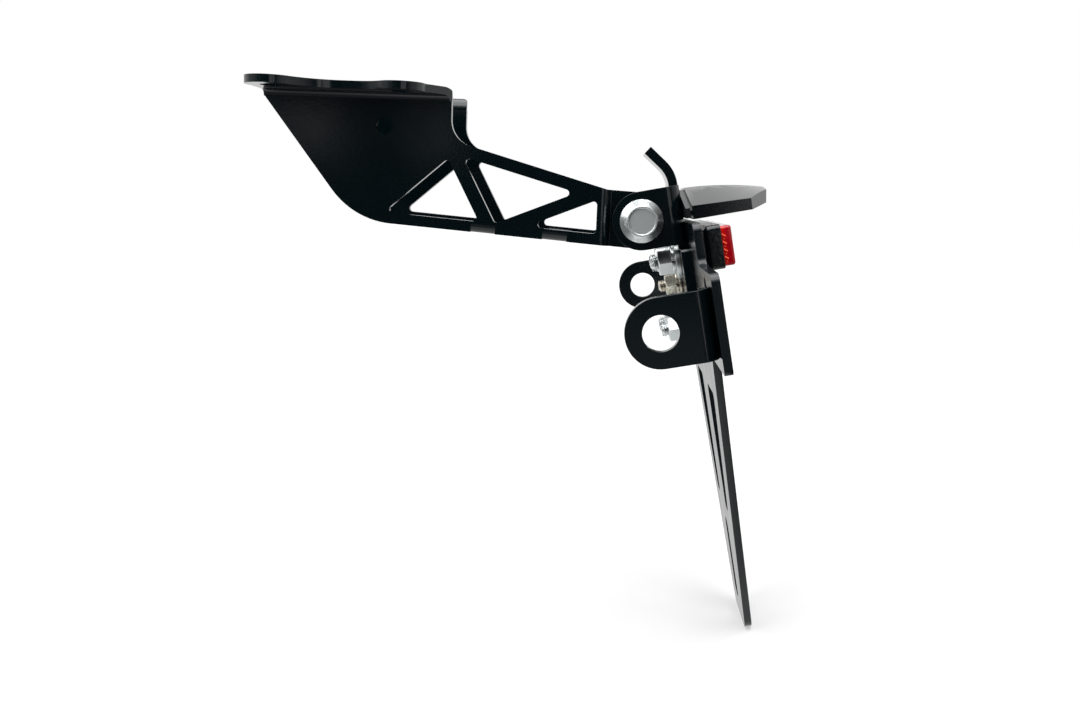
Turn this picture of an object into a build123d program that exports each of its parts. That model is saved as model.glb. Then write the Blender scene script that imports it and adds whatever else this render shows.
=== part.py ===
from build123d import *
import os
from math import asin, cos, degrees, radians, sin, sqrt, tan

# Tail tidy: the folded bracket that hangs a motorbike's number plate, plate light, reflector and
# indicators behind the seat. Millimetres. The origin lies on top of the mount flange, midway between
# the two front bolts. +X runs to the rear of the bike, -Y is its left side and +Z is up.

# Arm bracket: one folded sheet, from the bolts under the seat to the tilt pivot
arm_sheet = 2.5
arm_half_width = 18.3
arm_bend_inner = 2.0
front_bolt_reach = 33.6
rear_bolt_reach = 26.6
bolt_row_pitch = 40.0
mount_hole_radius = 3.3
front_lobe_radius = 8.0
rear_lobe_radius = 8.0
flange_waist_reach = 29.5
flange_front_waist_radius = 20.0
flange_rear_waist_radius = 12.0
flange_front = 7.4
flange_rear = 55.1
flange_rear_reach = 17.5
keel_x = 22.9
keel_z = -43.9
keel_radius = 27.0
front_edge_angle = 52.7
arm_root_z = -16.7
arm_root_radius = 8.5
joggle_x = 107.1
joggle_top_z = -30.8
joggle_angle = 70.0
joggle_inner_radius = 0.4
side_hole_x = 32.8
side_hole_z = -13.1
side_hole_radius = 2.7
lower_chord_width = 3.6
upper_chord_width = 4.0
strut_width = 4.5
window_corner_radius = 1.2
panel_edge_x = 33.1
panel_edge_angle = 40.9
front_strut_foot_x = 65.0
front_strut_angle = 62.1
rear_strut_angle = 22.4
end_post_width = 3.2
front_strap_x = 66.3
rear_strap_x = 90.2
strap_width = 8.2
strap_bend_inner = 0.4
strap_leg_straight = 0.2

# Tilt pivot between the arm and the plate assembly
pivot_x = 118.7
pivot_z = -40.6
plate_tilt = 12.0
arm_ear_radius = 9.3
pivot_bolt_radius = 3.0
pivot_fit = 0.05
ear_gap = 0.1

# Hinge bracket: one folded sheet with the pivot ears, the upper tongue and both indicator tabs
hinge_sheet = 3.0
hinge_bend_inner = 1.5
hinge_ear_radius = 9.6
pivot_to_plate = 13.9
bend_relief = 1.5
stem_half_width = 22.0
stem_bottom_drop = 45.0
stem_foot_radius = 1.5
stem_fillet_radius = 1.8
tab_half_width = 79.0
tab_drop = 29.2
tab_radius = 9.95
tab_hole_forward = 1.2
tab_root_length = 6.0
bar_top_drop = 27.0
bar_end_length = 2.0
indicator_hole_radius = 5.1
tongue_half_width = 9.0
tongue_bend_rise = 0.5
tongue_bend_inner = 10.0
tongue_angle = 37.0
tongue_length = 7.0
tongue_relief_radius = 1.2

# Plate holder: one flat sheet with a cut-out tail
holder_sheet = 2.5
neck_half_width = 47.0
neck_top_drop = 2.6
neck_corner_radius = 3.0
shoulder_drop = 15.3
wing_half_width = 82.0
wing_bottom_drop = 43.3
wing_corner_radius = 3.0
wing_lower_radius = 1.5
tail_root_half_width = 47.0
tail_root_radius = 2.0
tail_end_half_width = 13.5
tail_end_drop = 147.5
tail_end_radius = 6.0
tail_window_top_drop = 58.4
tail_window_bottom_drop = 103.0
tail_window_radius = 2.0
tail_spine_half_width = 9.0
tail_leg_width = 11.4
tail_slot_top_drop = 110.0
tail_slot_length = 30.0
tail_slot_width = 7.5
plate_hole_reach = 62.0
plate_hole_drop = 20.5
plate_hole_radius = 3.2

# Screws that clamp the plate holder to the hinge bracket
m5_radius = 2.5
m5_hole_radius = 2.75
m5_head_radius = 4.9
m5_socket_flats = 3.0
m5_reach = 8.5
m5_upper_drop = 15.3
m5_lower_drop = 38.0
m5_thread_past_nut = 2.3
m5_washer_radius = 6.25
m5_washer_height = 1.6
m5_spring_radius = 4.6
m5_spring_height = 1.3
m5_nut_flats = 8.0
m5_nut_height = 4.5
m4_radius = 2.0
m4_hole_radius = 2.25
m4_head_radius = 3.9
m4_socket_flats = 2.5
m4_drop = 23.9
m4_thread_past_nut = 2.4
m4_washer_radius = 4.5
m4_washer_height = 1.0
m4_spring_radius = 3.8
m4_spring_height = 1.1
m4_nut_flats = 7.0
m4_nut_height = 3.6
spring_split = 0.8
socket_depth = 1.4
screw_end_chamfer = 0.5
nut_top_inset = 0.16
nut_top_angle = 30.0

# Pivot bolts and nuts, flanged
pivot_flange_radius = 7.1
pivot_flange_height = 1.6
pivot_rim_height = 0.7
pivot_flats = 10.0
pivot_head_height = 6.0
pivot_dish_radius = 4.1
pivot_dish_depth = 0.5
pivot_nut_height = 6.0
pivot_thread_past_nut = 1.2

# Reflector: a red block in a black tray on an adhesive pad
reflector_half_width = 35.0
reflector_top_drop = 4.5
reflector_height = 14.0
reflector_pad_inset = 1.6
reflector_pad_height = 1.6
reflector_tray_height = 5.2
reflector_wall = 0.6
reflector_floor = 1.2
reflector_corner_radius = 1.8
reflector_chamfer = 1.1
reflector_lens_gap = 0.1
reflector_lens_proud = 3.3
reflector_lens_round = 0.8

# Plate light: a gabled hood over a strip of lamps, on a rubber seat
seat_height = 2.0
seat_inset = 0.6
seat_groove_width = 0.6
seat_groove_depth = 0.8
hood_half_width = 30.0
hood_ridge_half_width = 7.5
hood_length = 25.9
hood_side_length = 18.5
hood_nose_half_width = 15.0
hood_floor_drop = 1.9
hood_ridge_rise = 8.3
hood_middle_ridge_rise = 7.0
hood_rear_ridge_rise = 4.2
hood_eave_rise = 2.4
hood_rear_eave_rise = 1.4
hood_tip_floor_rise = 1.0
hood_tip_lean = 1.1
lamp_half_width = 20.0
lamp_length = 11.0
lamp_from_seat = 4.0
lamp_window_height = 1.6
lamp_window_gap = 0.1
lamp_board_height = 1.0
lamp_chip_size = 2.6
lamp_chip_height = 0.6
lamp_chip_pitch = 12.0
light_screw_radius = 1.5
light_screw_hole_radius = 1.7
light_screw_reach = 7.5
light_screw_rise = 3.5
light_screw_depth = 5.0
light_screw_head_radius = 2.85
light_screw_head_height = 1.6
light_screw_head_round = 1.3
light_screw_socket_flats = 2.0
light_screw_socket_depth = 0.9
wire_rise = 1.0
wire_radius = 1.5
grommet_neck_radius = 2.6
grommet_lip_radius = 3.9
grommet_lip_height = 1.2

# Frames of the tilted assembly: out is square to the plate towards the rear, up runs along the plate
pivot = Vector(pivot_x, 0, pivot_z)
out = Vector(cos(radians(plate_tilt)), 0, sin(radians(plate_tilt)))
up = Vector(-sin(radians(plate_tilt)), 0, cos(radians(plate_tilt)))
side_plane = Plane(origin=pivot, x_dir=out, z_dir=(0, -1, 0))
section_plane = Plane(origin=pivot, x_dir=out, z_dir=up)
hinge_front = pivot_to_plate - hinge_sheet
holder_rear = pivot_to_plate + holder_sheet


def rear_facing(distance):
    """Plane across the plate at a distance behind the pivot: x is +Y, y is up the plate."""
    return Plane(origin=pivot + out * distance, x_dir=(0, 1, 0), z_dir=out)


def front_facing(distance):
    """The same plane seen from the front: x is -Y, y is up the plate."""
    return Plane(origin=pivot + out * distance, x_dir=(0, -1, 0), z_dir=out * -1)


def pivot_facing(side, half_width):
    """Plane across the pivot axis, facing away from the middle on one side of the bracket."""
    return Plane(origin=pivot + Vector(0, side * half_width, 0), x_dir=out, z_dir=(0, side, 0))


def direction(angle):
    return Vector(cos(radians(angle)), sin(radians(angle)))


def shifted(start, along, distance):
    """Start of the parallel line that lies a distance to the left of a line of the side drawing."""
    return start + Vector(-along.Y, along.X) * distance


def meet(start, along, other_start, other_along):
    """Point where two lines of the side drawing cross."""
    gap = other_start - start
    across = along.X * other_along.Y - along.Y * other_along.X
    return start + along * ((gap.X * other_along.Y - gap.Y * other_along.X) / across)


def hex_nut(flats, height, hole_radius):
    """Hex nut that stands on its lower face, its upper corners turned down at 30 degrees."""
    turned_radius = flats / 2 - nut_top_inset
    outside_radius = flats / sqrt(3) + nut_top_inset
    turned_drop = (outside_radius - turned_radius) * tan(radians(nut_top_angle))
    with BuildPart() as nut:
        with BuildSketch():
            RegularPolygon(flats / 2, 6, major_radius=False)
            Circle(hole_radius, mode=Mode.SUBTRACT)
        extrude(amount=height)
        with BuildSketch(Plane.XZ):
            with BuildLine():
                Polyline(
                    (turned_radius, height),
                    (outside_radius, height),
                    (outside_radius, height - turned_drop),
                    close=True,
                )
            make_face()
        revolve(axis=Axis.Z, mode=Mode.SUBTRACT)
    return nut.part


def countersunk_screw(radius, head_radius, length, socket_flats):
    """Countersunk socket screw: its flat head is at z = 0 and its shank points down."""
    cone_height = head_radius - radius
    with BuildPart() as screw:
        with BuildSketch(Plane.XZ):
            with BuildLine():
                Polyline(
                    (0, 0),
                    (head_radius, 0),
                    (radius, -cone_height),
                    (radius, screw_end_chamfer - length),
                    (radius - screw_end_chamfer, -length),
                    (0, -length),
                    close=True,
                )
            make_face()
        revolve(axis=Axis.Z)
        with BuildSketch():
            RegularPolygon(socket_flats / 2, 6, major_radius=False)
        extrude(amount=-socket_depth, mode=Mode.SUBTRACT)
    return screw.part


def flat_washer(radius, hole_radius, height):
    with BuildPart() as washer:
        with BuildSketch():
            Circle(radius)
            Circle(hole_radius, mode=Mode.SUBTRACT)
        extrude(amount=height)
    return washer.part


def spring_washer(radius, hole_radius, height):
    """Split ring, cut through at a slant on one side."""
    with BuildPart() as washer:
        with BuildSketch():
            Circle(radius)
            Circle(hole_radius, mode=Mode.SUBTRACT)
        extrude(amount=height)
        with BuildSketch(Plane.YZ):
            with BuildLine():
                Polyline(
                    (-spring_split, -height),
                    (0, -height),
                    (spring_split, 2 * height),
                    (0, 2 * height),
                    close=True,
                )
            make_face()
        extrude(amount=2 * radius, mode=Mode.SUBTRACT)
    return washer.part


# Arm bracket: lines of its side drawing, front edge, lower edge, upper edge and truss
arm_bend_outer = arm_bend_inner + arm_sheet
wall_top = -arm_bend_outer
ear_step = hinge_sheet + ear_gap
arm_ear_half_width = arm_half_width - ear_step
pivot_point = Vector(pivot_x, pivot_z)
keel = Vector(keel_x, keel_z)
front_top = keel + Vector(-(wall_top - keel_z) / tan(radians(front_edge_angle)), wall_top - keel_z)
keel_to_pivot = pivot_point - keel
keel_rise = degrees(asin(keel_to_pivot.Y / keel_to_pivot.length))
lower_angle = keel_rise - degrees(asin(arm_ear_radius / keel_to_pivot.length))
lower_along = direction(lower_angle)
lower_end = pivot_point + direction(lower_angle - 90) * arm_ear_radius
arm_root = Vector(flange_rear, arm_root_z)
joggle_top = Vector(joggle_x, joggle_top_z)
upper_along = (joggle_top - arm_root).normalized()
lower_chord = shifted(keel, lower_along, lower_chord_width)
upper_chord = shifted(arm_root, upper_along, -upper_chord_width)
upright = Vector(0, 1)
panel_along = direction(panel_edge_angle)
panel_foot = meet(lower_chord, lower_along, Vector(panel_edge_x, 0), upright)
front_strut_along = direction(180 - front_strut_angle)
front_strut_foot = meet(lower_chord, lower_along, Vector(front_strut_foot_x, 0), upright)
front_strut_rear = shifted(front_strut_foot, front_strut_along, -strut_width)
rear_strut_along = direction(rear_strut_angle)
rear_strut_foot = meet(front_strut_rear, front_strut_along, lower_chord, lower_along)
rear_strut_lower = shifted(rear_strut_foot, rear_strut_along, -strut_width)
end_post = Vector(joggle_x - end_post_width, 0)
front_window = (
    panel_foot,
    front_strut_foot,
    meet(panel_foot, panel_along, front_strut_foot, front_strut_along),
)
middle_window = (
    rear_strut_foot,
    meet(rear_strut_foot, rear_strut_along, upper_chord, upper_along),
    meet(front_strut_rear, front_strut_along, upper_chord, upper_along),
)
rear_window = (
    meet(rear_strut_lower, rear_strut_along, lower_chord, lower_along),
    meet(lower_chord, lower_along, end_post, upright),
    meet(rear_strut_lower, rear_strut_along, end_post, upright),
)

# Left wall of the arm, stepped inwards behind the truss to pass inside the hinge ears
with BuildPart() as arm_wall:
    with BuildSketch() as wall_plan:
        step_length = ear_step / tan(radians(joggle_angle))
        inner_shift = arm_sheet * tan(radians(joggle_angle / 2))
        wall_front = front_top.X - arm_sheet
        wall_rear = pivot_x + arm_ear_radius + arm_sheet
        outer_y = -arm_half_width
        inner_y = outer_y + arm_sheet
        with BuildLine():
            Polyline(
                (wall_front, outer_y),
                (joggle_x, outer_y),
                (joggle_x + step_length, outer_y + ear_step),
                (wall_rear, outer_y + ear_step),
                (wall_rear, inner_y + ear_step),
                (joggle_x + step_length - inner_shift, inner_y + ear_step),
                (joggle_x - inner_shift, inner_y),
                (wall_front, inner_y),
                close=True,
            )
        make_face()
        tight_bends = [
            wall_plan.vertices().sort_by_distance((joggle_x - inner_shift, inner_y, 0))[0],
            wall_plan.vertices().sort_by_distance((joggle_x + step_length, outer_y + ear_step, 0))[0],
        ]
        fillet(tight_bends, joggle_inner_radius)
        wide_bends = [
            wall_plan.vertices().sort_by_distance((joggle_x, outer_y, 0))[0],
            wall_plan.vertices().sort_by_distance(
                (joggle_x + step_length - inner_shift, inner_y + ear_step, 0)
            )[0],
        ]
        fillet(wide_bends, joggle_inner_radius + arm_sheet)
    extrude(amount=2 * keel_z)
    with BuildSketch(Plane.XZ) as wall_outline:
        with BuildLine():
            ear_rear = pivot_point + Vector(arm_ear_radius, 0)
            ear_top = pivot_point + upright * arm_ear_radius
            Polyline(front_top, keel, lower_end)
            ThreePointArc(lower_end, ear_rear, ear_top)
            Polyline(
                ear_top,
                joggle_top,
                arm_root,
                (flange_rear, wall_top),
                front_top,
            )
        make_face()
        fillet(wall_outline.vertices().sort_by_distance(keel)[0], keel_radius)
        fillet(wall_outline.vertices().sort_by_distance(arm_root)[0], arm_root_radius)
        with Locations((side_hole_x, side_hole_z)):
            Circle(side_hole_radius, mode=Mode.SUBTRACT)
        with Locations(pivot_point):
            Circle(pivot_bolt_radius + pivot_fit, mode=Mode.SUBTRACT)
    extrude(amount=2 * arm_half_width, mode=Mode.INTERSECT)
    with BuildSketch(Plane.XZ) as truss_windows:
        for corners in (front_window, middle_window, rear_window):
            with BuildLine():
                Polyline(*corners, close=True)
            make_face()
        fillet(truss_windows.vertices(), window_corner_radius)
    extrude(amount=2 * arm_half_width, mode=Mode.SUBTRACT)

# Left mount flange, bent out from the top of the wall, with a lobe round each bolt hole
with BuildPart() as arm_flange:
    flange_reach = front_bolt_reach + front_lobe_radius + arm_sheet
    bend_centre = (-arm_half_width - arm_bend_inner, wall_top)
    with BuildSketch(Plane.YZ.offset(-flange_front - front_lobe_radius)):
        with BuildLine():
            Line((-flange_reach, 0), (bend_centre[0], 0))
            CenterArc(bend_centre, arm_bend_outer, 90, -90)
            Line((-arm_half_width + arm_sheet, wall_top), (-arm_half_width, wall_top))
            CenterArc(bend_centre, arm_bend_inner, 0, 90)
            Polyline((bend_centre[0], -arm_sheet), (-flange_reach, -arm_sheet), (-flange_reach, 0))
        make_face()
    extrude(amount=flange_front + front_lobe_radius + flange_rear)
    with BuildSketch() as flange_outline:
        with BuildLine():
            Polyline(
                (-flange_front, 0),
                (-flange_front, -front_bolt_reach),
                (0, -front_bolt_reach),
                (0, -flange_waist_reach),
                (bolt_row_pitch, -flange_waist_reach),
                (bolt_row_pitch + rear_lobe_radius, -rear_bolt_reach),
                (flange_rear, -flange_rear_reach),
                (flange_rear, 0),
                close=True,
            )
        make_face()
        with Locations((0, -front_bolt_reach)):
            Circle(front_lobe_radius)
        with Locations((bolt_row_pitch, -rear_bolt_reach)):
            Circle(rear_lobe_radius)
        front_waist_x = sqrt(front_lobe_radius**2 - (front_bolt_reach - flange_waist_reach) ** 2)
        front_waist = (front_waist_x, -flange_waist_reach, 0)
        fillet(flange_outline.vertices().sort_by_distance(front_waist)[0], flange_front_waist_radius)
        rear_waist_gap = sqrt(rear_lobe_radius**2 - (flange_waist_reach - rear_bolt_reach) ** 2)
        rear_waist = (bolt_row_pitch - rear_waist_gap, -flange_waist_reach, 0)
        fillet(flange_outline.vertices().sort_by_distance(rear_waist)[0], flange_rear_waist_radius)
        with Locations((0, -front_bolt_reach), (bolt_row_pitch, -rear_bolt_reach)):
            Circle(mount_hole_radius, mode=Mode.SUBTRACT)
    extrude(amount=-2 * arm_bend_outer, mode=Mode.INTERSECT)

# The whole arm: both sides, joined by two straps folded under the lower edge
with BuildPart() as arm_bracket:
    add(arm_wall.part)
    add(arm_flange.part)
    mirror(about=Plane.XZ)
    strap_bend_outer = strap_bend_inner + arm_sheet
    strap_leg = strap_bend_outer + strap_leg_straight
    for strap_x in (front_strap_x, rear_strap_x):
        strap_start = keel + lower_along * ((strap_x - keel_x) / lower_along.X - strap_width / 2)
        strap_plane = Plane(
            origin=(strap_start.X, 0, strap_start.Y),
            x_dir=(0, 1, 0),
            z_dir=(lower_along.X, 0, lower_along.Y),
        )
        with BuildSketch(strap_plane):
            Rectangle(4 * arm_half_width, 2 * strap_leg)
        extrude(amount=strap_width, mode=Mode.SUBTRACT)
        with BuildSketch(strap_plane) as strap_section:
            with BuildLine():
                Polyline(
                    (-arm_half_width, strap_leg),
                    (-arm_half_width, 0),
                    (arm_half_width, 0),
                    (arm_half_width, strap_leg),
                    (arm_half_width - arm_sheet, strap_leg),
                    (arm_half_width - arm_sheet, arm_sheet),
                    (arm_sheet - arm_half_width, arm_sheet),
                    (arm_sheet - arm_half_width, strap_leg),
                    close=True,
                )
            make_face()
            fillet(strap_section.vertices().group_by(Axis.Y)[1], strap_bend_inner)
            fillet(strap_section.vertices().group_by(Axis.Y)[0], strap_bend_outer)
        extrude(amount=strap_width)

# Pivot bolts, put in from the outside through the hinge ear and the arm ear
hinge_half_width = arm_ear_half_width + ear_gap + hinge_sheet
pivot_grip = hinge_half_width - arm_ear_half_width + arm_sheet
with BuildPart() as flange_bolt:
    with BuildSketch():
        Circle(pivot_flange_radius)
    extrude(amount=pivot_rim_height)
    with BuildSketch(Plane.XY.offset(pivot_rim_height)):
        Circle(pivot_flange_radius)
    with BuildSketch(Plane.XY.offset(pivot_flange_height)):
        Circle(pivot_flats / 2)
    loft()
    add(hex_nut(pivot_flats, pivot_head_height, pivot_dish_radius))
    with BuildSketch(Plane.XY):
        Circle(pivot_dish_radius)
    extrude(amount=pivot_head_height - pivot_dish_depth)
    with BuildSketch():
        Circle(pivot_bolt_radius)
    extrude(amount=-pivot_grip - pivot_nut_height - pivot_thread_past_nut)

with BuildPart() as pivot_bolts:
    with Locations(pivot_facing(-1, hinge_half_width), pivot_facing(1, hinge_half_width)):
        add(flange_bolt.part)

with BuildPart() as flange_nut:
    with BuildSketch():
        Circle(pivot_flange_radius)
        Circle(pivot_bolt_radius, mode=Mode.SUBTRACT)
    extrude(amount=pivot_rim_height)
    add(hex_nut(pivot_flats, pivot_nut_height, pivot_bolt_radius))

with BuildPart() as pivot_nuts:
    nut_seat = arm_ear_half_width - arm_sheet
    with Locations(pivot_facing(-1, -nut_seat), pivot_facing(1, -nut_seat)):
        add(flange_nut.part)

# Indicator tabs: both ends of the hinge bracket's cross bar, bent forwards
hinge_bend_outer = hinge_bend_inner + hinge_sheet
tab_front = -tab_hole_forward - tab_radius
bar_half_width = tab_half_width - tab_root_length
with BuildPart() as indicator_tab:
    with BuildSketch(section_plane.offset(-tab_drop - tab_radius)) as tab_section:
        with BuildLine():
            Polyline(
                (tab_front, -tab_half_width),
                (pivot_to_plate, -tab_half_width),
                (pivot_to_plate, -bar_half_width),
                (hinge_front, -bar_half_width),
                (hinge_front, hinge_sheet - tab_half_width),
                (tab_front, hinge_sheet - tab_half_width),
                close=True,
            )
        make_face()
        inside_corner = (hinge_front, hinge_sheet - tab_half_width, 0)
        fillet(tab_section.vertices().sort_by_distance(inside_corner)[0], hinge_bend_inner)
        outside_corner = (pivot_to_plate, -tab_half_width, 0)
        fillet(tab_section.vertices().sort_by_distance(outside_corner)[0], hinge_bend_outer)
    extrude(amount=2 * tab_radius)
    with BuildSketch(side_plane):
        with Locations((-tab_hole_forward, -tab_drop)):
            Circle(tab_radius)
            root_length = pivot_to_plate + tab_hole_forward
            Rectangle(root_length, 2 * tab_radius, align=(Align.MIN, Align.CENTER))
            Circle(indicator_hole_radius, mode=Mode.SUBTRACT)
    extrude(amount=2 * tab_half_width, mode=Mode.INTERSECT)

# Pivot ears of the hinge bracket and the plate between them, one channel with round ends
m5_points = [
    (side * m5_reach, -drop)
    for drop in (m5_upper_drop, m5_lower_drop)
    for side in (-1, 1)
]
m4_point = (0, -m4_drop)
light_screw_points = [(-light_screw_reach, light_screw_rise), (light_screw_reach, light_screw_rise)]
plate_hole_points = [(-plate_hole_reach, -plate_hole_drop), (plate_hole_reach, -plate_hole_drop)]
with BuildPart() as hinge_bracket:
    with BuildSketch(section_plane.offset(-hinge_ear_radius)) as ear_section:
        with BuildLine():
            Polyline(
                (-hinge_ear_radius, -hinge_half_width),
                (pivot_to_plate, -hinge_half_width),
                (pivot_to_plate, hinge_half_width),
                (-hinge_ear_radius, hinge_half_width),
                (-hinge_ear_radius, hinge_half_width - hinge_sheet),
                (hinge_front, hinge_half_width - hinge_sheet),
                (hinge_front, hinge_sheet - hinge_half_width),
                (-hinge_ear_radius, hinge_sheet - hinge_half_width),
                close=True,
            )
        make_face()
        fillet(ear_section.vertices().group_by(Axis.X)[1], hinge_bend_inner)
        fillet(ear_section.vertices().group_by(Axis.X)[-1], hinge_bend_outer)
    extrude(amount=2 * hinge_ear_radius)
    with BuildSketch(side_plane):
        Circle(hinge_ear_radius)
        Rectangle(pivot_to_plate, 2 * hinge_ear_radius, align=(Align.MIN, Align.CENTER))
        Circle(pivot_bolt_radius + pivot_fit, mode=Mode.SUBTRACT)
    extrude(amount=hinge_half_width, both=True, mode=Mode.INTERSECT)

    # Stem and cross bar below the ears, with a relief slot under each ear's bend and the bar cut low
    # between the stem and the tabs
    with BuildSketch(rear_facing(hinge_front)) as stem_outline:
        stem_top = -hinge_ear_radius - bend_relief
        with BuildLine():
            Polyline(
                (-stem_half_width, stem_top),
                (stem_half_width, stem_top),
                (stem_half_width, -stem_bottom_drop),
                (-stem_half_width, -stem_bottom_drop),
                close=True,
            )
        make_face()
        fillet(stem_outline.vertices(), stem_foot_radius)
        bar_bottom = -tab_drop - tab_radius
        bar_end_reach = bar_half_width - bar_end_length
        with Locations((0, bar_bottom)):
            Rectangle(2 * bar_end_reach, -bar_top_drop - bar_bottom, align=(Align.CENTER, Align.MIN))
        end_middle = bar_half_width - bar_end_length / 2
        with Locations((-end_middle, -tab_drop), (end_middle, -tab_drop)):
            Rectangle(bar_end_length, 2 * tab_radius)
        for side in (-1, 1):
            end_top = (side * bar_end_reach, -tab_drop + tab_radius, 0)
            fillet(stem_outline.vertices().sort_by_distance(end_top)[0], stem_foot_radius)
            for reach, bar_edge in (
                (stem_half_width, bar_bottom),
                (stem_half_width, -bar_top_drop),
                (bar_end_reach, -bar_top_drop),
            ):
                crossing = (side * reach, bar_edge, 0)
                fillet(stem_outline.vertices().sort_by_distance(crossing)[0], stem_fillet_radius)
        with Locations((0, stem_top)):
            link_half_width = hinge_half_width - hinge_bend_outer
            Rectangle(2 * link_half_width, 4 * bend_relief)
    extrude(amount=hinge_sheet)
    add(indicator_tab.part)
    mirror(indicator_tab.part, about=Plane.XZ)

    # Upper tongue, curled forwards over the pivot
    with BuildSketch(side_plane):
        bend_start = hinge_ear_radius + tongue_bend_rise
        tongue_along = direction(90 + tongue_angle)
        curl_centre = Vector(hinge_front - tongue_bend_inner, bend_start)
        front_bend_end = curl_centre + direction(tongue_angle) * tongue_bend_inner
        rear_bend_end = curl_centre + direction(tongue_angle) * (tongue_bend_inner + hinge_sheet)
        with BuildLine():
            Line((hinge_front, 0), (hinge_front, bend_start))
            CenterArc(curl_centre, tongue_bend_inner, 0, tongue_angle)
            Polyline(
                front_bend_end,
                front_bend_end + tongue_along * tongue_length,
                rear_bend_end + tongue_along * tongue_length,
                rear_bend_end,
            )
            CenterArc(curl_centre, tongue_bend_inner + hinge_sheet, tongue_angle, -tongue_angle)
            Polyline((pivot_to_plate, bend_start), (pivot_to_plate, 0), (hinge_front, 0))
        make_face()
    extrude(amount=tongue_half_width, both=True)

    # Relief at the tongue's root, then the holes for screws and wire
    with BuildSketch(rear_facing(hinge_front)):
        relief_reach = tongue_half_width + tongue_relief_radius
        with Locations((-relief_reach, hinge_ear_radius), (relief_reach, hinge_ear_radius)):
            Circle(tongue_relief_radius)
        with Locations(*m5_points):
            Circle(m5_hole_radius)
        with Locations(m4_point):
            Circle(m4_hole_radius)
        with Locations(*light_screw_points):
            Circle(light_screw_hole_radius)
        with Locations((0, wire_rise)):
            Circle(grommet_neck_radius)
    extrude(amount=hinge_sheet, mode=Mode.SUBTRACT)

# Plate holder: neck, wide bar for the number plate and tapered tail, cut from one flat sheet
with BuildPart() as plate_holder:
    tail_slope = (tail_root_half_width - tail_end_half_width) / (tail_end_drop - wing_bottom_drop)
    with BuildSketch(rear_facing(pivot_to_plate)) as holder_outline:
        with BuildLine():
            Polyline(
                (0, -neck_top_drop),
                (neck_half_width, -neck_top_drop),
                (neck_half_width, -shoulder_drop),
                (wing_half_width, -shoulder_drop),
                (wing_half_width, -wing_bottom_drop),
                (tail_root_half_width, -wing_bottom_drop),
                (tail_end_half_width, -tail_end_drop),
                (0, -tail_end_drop),
                close=True,
            )
        make_face()
        neck_corners = [
            holder_outline.vertices().sort_by_distance((neck_half_width, -neck_top_drop, 0))[0],
            holder_outline.vertices().sort_by_distance((neck_half_width, -shoulder_drop, 0))[0],
        ]
        fillet(neck_corners, neck_corner_radius)
        shoulder = (wing_half_width, -shoulder_drop, 0)
        fillet(holder_outline.vertices().sort_by_distance(shoulder)[0], wing_corner_radius)
        wing_foot = (wing_half_width, -wing_bottom_drop, 0)
        fillet(holder_outline.vertices().sort_by_distance(wing_foot)[0], wing_lower_radius)
        tail_root = (tail_root_half_width, -wing_bottom_drop, 0)
        fillet(holder_outline.vertices().sort_by_distance(tail_root)[0], tail_root_radius)
        tail_tip = (tail_end_half_width, -tail_end_drop, 0)
        fillet(holder_outline.vertices().sort_by_distance(tail_tip)[0], tail_end_radius)
        mirror(about=Plane.YZ)
        with Locations(*plate_hole_points):
            Circle(plate_hole_radius, mode=Mode.SUBTRACT)
    extrude(amount=holder_sheet)
    with BuildSketch(rear_facing(pivot_to_plate)) as tail_cuts:
        leg_at_root = tail_root_half_width - tail_leg_width * sqrt(1 + tail_slope**2)
        window_top_reach = leg_at_root - tail_slope * (tail_window_top_drop - wing_bottom_drop)
        window_bottom_reach = leg_at_root - tail_slope * (tail_window_bottom_drop - wing_bottom_drop)
        with BuildLine():
            Polyline(
                (tail_spine_half_width, -tail_window_top_drop),
                (window_top_reach, -tail_window_top_drop),
                (window_bottom_reach, -tail_window_bottom_drop),
                (tail_spine_half_width, -tail_window_bottom_drop),
                close=True,
            )
        make_face()
        fillet(tail_cuts.vertices(), tail_window_radius)
        mirror(about=Plane.YZ)
        with Locations((0, -tail_slot_top_drop - tail_slot_length / 2)):
            SlotOverall(tail_slot_length, tail_slot_width, rotation=90)
        with Locations(*m5_points):
            Circle(m5_hole_radius)
        with Locations(m4_point):
            Circle(m4_hole_radius)
    extrude(amount=holder_sheet, mode=Mode.SUBTRACT)
    for points, radius, head_radius in (
        (m5_points, m5_radius, m5_head_radius),
        ([m4_point], m4_radius, m4_head_radius),
    ):
        for point in points:
            with BuildSketch(rear_facing(holder_rear)):
                with Locations(point):
                    Circle(head_radius)
            with BuildSketch(rear_facing(holder_rear - head_radius + radius)):
                with Locations(point):
                    Circle(radius)
            loft(mode=Mode.SUBTRACT)

# Clamping screws with their washers and nuts, heads flush with the back of the plate holder
m5_stack = m5_washer_height + m5_spring_height + m5_nut_height
m5_length = holder_rear - hinge_front + m5_stack + m5_thread_past_nut
with BuildPart(rear_facing(holder_rear)) as holder_screws:
    with Locations(*m5_points):
        add(countersunk_screw(m5_radius, m5_head_radius, m5_length, m5_socket_flats))

with BuildPart(front_facing(hinge_front)) as wide_washers:
    with Locations(*m5_points):
        add(flat_washer(m5_washer_radius, m5_hole_radius, m5_washer_height))

m4_spring_seat = hinge_front - m4_washer_height
with BuildPart(front_facing(hinge_front - m5_washer_height)) as spring_washers:
    with Locations(*m5_points):
        add(spring_washer(m5_spring_radius, m5_hole_radius, m5_spring_height))

with BuildPart(front_facing(hinge_front - m5_washer_height - m5_spring_height)) as holder_nuts:
    with Locations(*m5_points):
        add(hex_nut(m5_nut_flats, m5_nut_height, m5_radius))

m4_stack = m4_washer_height + m4_spring_height + m4_nut_height
m4_length = holder_rear - hinge_front + m4_stack + m4_thread_past_nut
with BuildPart(rear_facing(holder_rear)) as locating_screw:
    with Locations(m4_point):
        add(countersunk_screw(m4_radius, m4_head_radius, m4_length, m4_socket_flats))

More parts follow.
